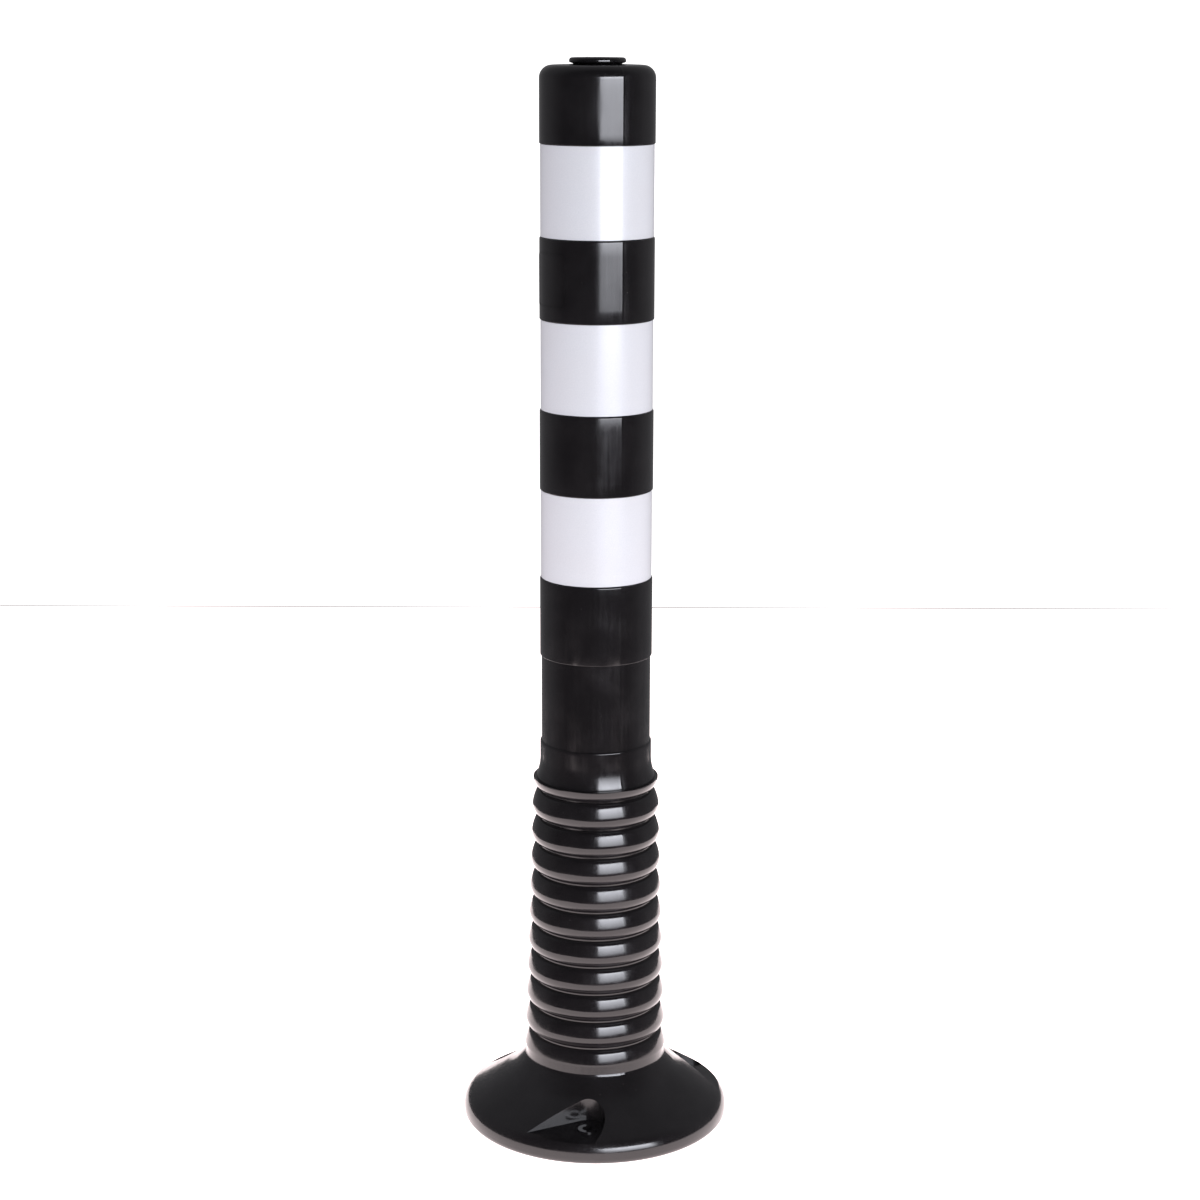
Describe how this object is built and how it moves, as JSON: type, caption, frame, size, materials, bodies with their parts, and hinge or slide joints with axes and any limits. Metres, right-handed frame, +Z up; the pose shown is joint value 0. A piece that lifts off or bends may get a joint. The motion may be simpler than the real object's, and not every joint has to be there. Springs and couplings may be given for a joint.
{
  "type": "delineator post",
  "caption": "Flexible road delineator post: hollow moulded tube with reflective films, a spring-back folding section and a wide round foot with anchor pockets.",
  "frame": {"origin": "middle of the foot's underside, on the ground", "axes": "+Z up along the post, -Y the front, where the first anchor pocket is"},
  "size_m": [0.19, 0.19, 0.75],
  "materials": {
    "moulded_body": "glossy as moulded",
    "soft_folds": "glossy as moulded",
    "reflective_film": "glossy white retroreflective film",
    "stopper_plastic": "satin"
  },
  "bodies": {
    "foot": {"base_foot": "moulded_body"},
    "fold_01": {"fold_01": "soft_folds"},
    "rib_01": {"rib_01": "moulded_body"},
    "fold_02": {"fold_02": "soft_folds"},
    "rib_02": {"rib_02": "moulded_body"},
    "fold_03": {"fold_03": "soft_folds"},
    "rib_03": {"rib_03": "moulded_body"},
    "fold_04": {"fold_04": "soft_folds"},
    "rib_04": {"rib_04": "moulded_body"},
    "fold_05": {"fold_05": "soft_folds"},
    "rib_05": {"rib_05": "moulded_body"},
    "fold_06": {"fold_06": "soft_folds"},
    "rib_06": {"rib_06": "moulded_body"},
    "fold_07": {"fold_07": "soft_folds"},
    "rib_07": {"rib_07": "moulded_body"},
    "fold_08": {"fold_08": "soft_folds"},
    "rib_08": {"rib_08": "moulded_body"},
    "fold_09": {"fold_09": "soft_folds"},
    "rib_09": {"rib_09": "moulded_body"},
    "fold_10": {"fold_10": "soft_folds"},
    "post": {"post_tube": "moulded_body", "lower_film": "reflective_film", "middle_film": "reflective_film", "upper_film": "reflective_film", "knob_stopper": "stopper_plastic"}
  },
  "joints": [
    {"name": "bend_x_01", "type": "hinge", "parent": "foot", "child": "fold_01", "pos_m": [0, 0, 0.064], "axis": [1, 0, 0], "range_deg": [-9, 9], "stiffness_Nm_per_rad": 250, "deforming": ["fold_01"]},
    {"name": "bend_y_01", "type": "hinge", "parent": "fold_01", "child": "rib_01", "pos_m": [0, 0, 0.064], "axis": [0, 1, 0], "range_deg": [-9, 9], "stiffness_Nm_per_rad": 250},
    {"name": "bend_x_02", "type": "hinge", "parent": "rib_01", "child": "fold_02", "pos_m": [0, 0, 0.084], "axis": [1, 0, 0], "range_deg": [-9, 9], "stiffness_Nm_per_rad": 250, "deforming": ["fold_02"]},
    {"name": "bend_y_02", "type": "hinge", "parent": "fold_02", "child": "rib_02", "pos_m": [0, 0, 0.084], "axis": [0, 1, 0], "range_deg": [-9, 9], "stiffness_Nm_per_rad": 250},
    {"name": "bend_x_03", "type": "hinge", "parent": "rib_02", "child": "fold_03", "pos_m": [0, 0, 0.104], "axis": [1, 0, 0], "range_deg": [-9, 9], "stiffness_Nm_per_rad": 250, "deforming": ["fold_03"]},
    {"name": "bend_y_03", "type": "hinge", "parent": "fold_03", "child": "rib_03", "pos_m": [0, 0, 0.104], "axis": [0, 1, 0], "range_deg": [-9, 9], "stiffness_Nm_per_rad": 250},
    {"name": "bend_x_04", "type": "hinge", "parent": "rib_03", "child": "fold_04", "pos_m": [0, 0, 0.124], "axis": [1, 0, 0], "range_deg": [-9, 9], "stiffness_Nm_per_rad": 250, "deforming": ["fold_04"]},
    {"name": "bend_y_04", "type": "hinge", "parent": "fold_04", "child": "rib_04", "pos_m": [0, 0, 0.124], "axis": [0, 1, 0], "range_deg": [-9, 9], "stiffness_Nm_per_rad": 250},
    {"name": "bend_x_05", "type": "hinge", "parent": "rib_04", "child": "fold_05", "pos_m": [0, 0, 0.144], "axis": [1, 0, 0], "range_deg": [-9, 9], "stiffness_Nm_per_rad": 250, "deforming": ["fold_05"]},
    {"name": "bend_y_05", "type": "hinge", "parent": "fold_05", "child": "rib_05", "pos_m": [0, 0, 0.144], "axis": [0, 1, 0], "range_deg": [-9, 9], "stiffness_Nm_per_rad": 250},
    {"name": "bend_x_06", "type": "hinge", "parent": "rib_05", "child": "fold_06", "pos_m": [0, 0, 0.164], "axis": [1, 0, 0], "range_deg": [-9, 9], "stiffness_Nm_per_rad": 250, "deforming": ["fold_06"]},
    {"name": "bend_y_06", "type": "hinge", "parent": "fold_06", "child": "rib_06", "pos_m": [0, 0, 0.164], "axis": [0, 1, 0], "range_deg": [-9, 9], "stiffness_Nm_per_rad": 250},
    {"name": "bend_x_07", "type": "hinge", "parent": "rib_06", "child": "fold_07", "pos_m": [0, 0, 0.184], "axis": [1, 0, 0], "range_deg": [-9, 9], "stiffness_Nm_per_rad": 250, "deforming": ["fold_07"]},
    {"name": "bend_y_07", "type": "hinge", "parent": "fold_07", "child": "rib_07", "pos_m": [0, 0, 0.184], "axis": [0, 1, 0], "range_deg": [-9, 9], "stiffness_Nm_per_rad": 250},
    {"name": "bend_x_08", "type": "hinge", "parent": "rib_07", "child": "fold_08", "pos_m": [0, 0, 0.204], "axis": [1, 0, 0], "range_deg": [-9, 9], "stiffness_Nm_per_rad": 250, "deforming": ["fold_08"]},
    {"name": "bend_y_08", "type": "hinge", "parent": "fold_08", "child": "rib_08", "pos_m": [0, 0, 0.204], "axis": [0, 1, 0], "range_deg": [-9, 9], "stiffness_Nm_per_rad": 250},
    {"name": "bend_x_09", "type": "hinge", "parent": "rib_08", "child": "fold_09", "pos_m": [0, 0, 0.224], "axis": [1, 0, 0], "range_deg": [-9, 9], "stiffness_Nm_per_rad": 250, "deforming": ["fold_09"]},
    {"name": "bend_y_09", "type": "hinge", "parent": "fold_09", "child": "rib_09", "pos_m": [0, 0, 0.224], "axis": [0, 1, 0], "range_deg": [-9, 9], "stiffness_Nm_per_rad": 250},
    {"name": "bend_x_10", "type": "hinge", "parent": "rib_09", "child": "fold_10", "pos_m": [0, 0, 0.244], "axis": [1, 0, 0], "range_deg": [-9, 9], "stiffness_Nm_per_rad": 250, "deforming": ["fold_10"]},
    {"name": "bend_y_10", "type": "hinge", "parent": "fold_10", "child": "post", "pos_m": [0, 0, 0.244], "axis": [0, 1, 0], "range_deg": [-9, 9], "stiffness_Nm_per_rad": 250}
  ],
  "couplings": [
    {"joint": "bend_x_02", "follows": "bend_x_01", "ratio": 1},
    {"joint": "bend_y_02", "follows": "bend_y_01", "ratio": 1},
    {"joint": "bend_x_03", "follows": "bend_x_01", "ratio": 1},
    {"joint": "bend_y_03", "follows": "bend_y_01", "ratio": 1},
    {"joint": "bend_x_04", "follows": "bend_x_01", "ratio": 1},
    {"joint": "bend_y_04", "follows": "bend_y_01", "ratio": 1},
    {"joint": "bend_x_05", "follows": "bend_x_01", "ratio": 1},
    {"joint": "bend_y_05", "follows": "bend_y_01", "ratio": 1},
    {"joint": "bend_x_06", "follows": "bend_x_01", "ratio": 1},
    {"joint": "bend_y_06", "follows": "bend_y_01", "ratio": 1},
    {"joint": "bend_x_07", "follows": "bend_x_01", "ratio": 1},
    {"joint": "bend_y_07", "follows": "bend_y_01", "ratio": 1},
    {"joint": "bend_x_08", "follows": "bend_x_01", "ratio": 1},
    {"joint": "bend_y_08", "follows": "bend_y_01", "ratio": 1},
    {"joint": "bend_x_09", "follows": "bend_x_01", "ratio": 1},
    {"joint": "bend_y_09", "follows": "bend_y_01", "ratio": 1},
    {"joint": "bend_x_10", "follows": "bend_x_01", "ratio": 1},
    {"joint": "bend_y_10", "follows": "bend_y_01", "ratio": 1}
  ]
}
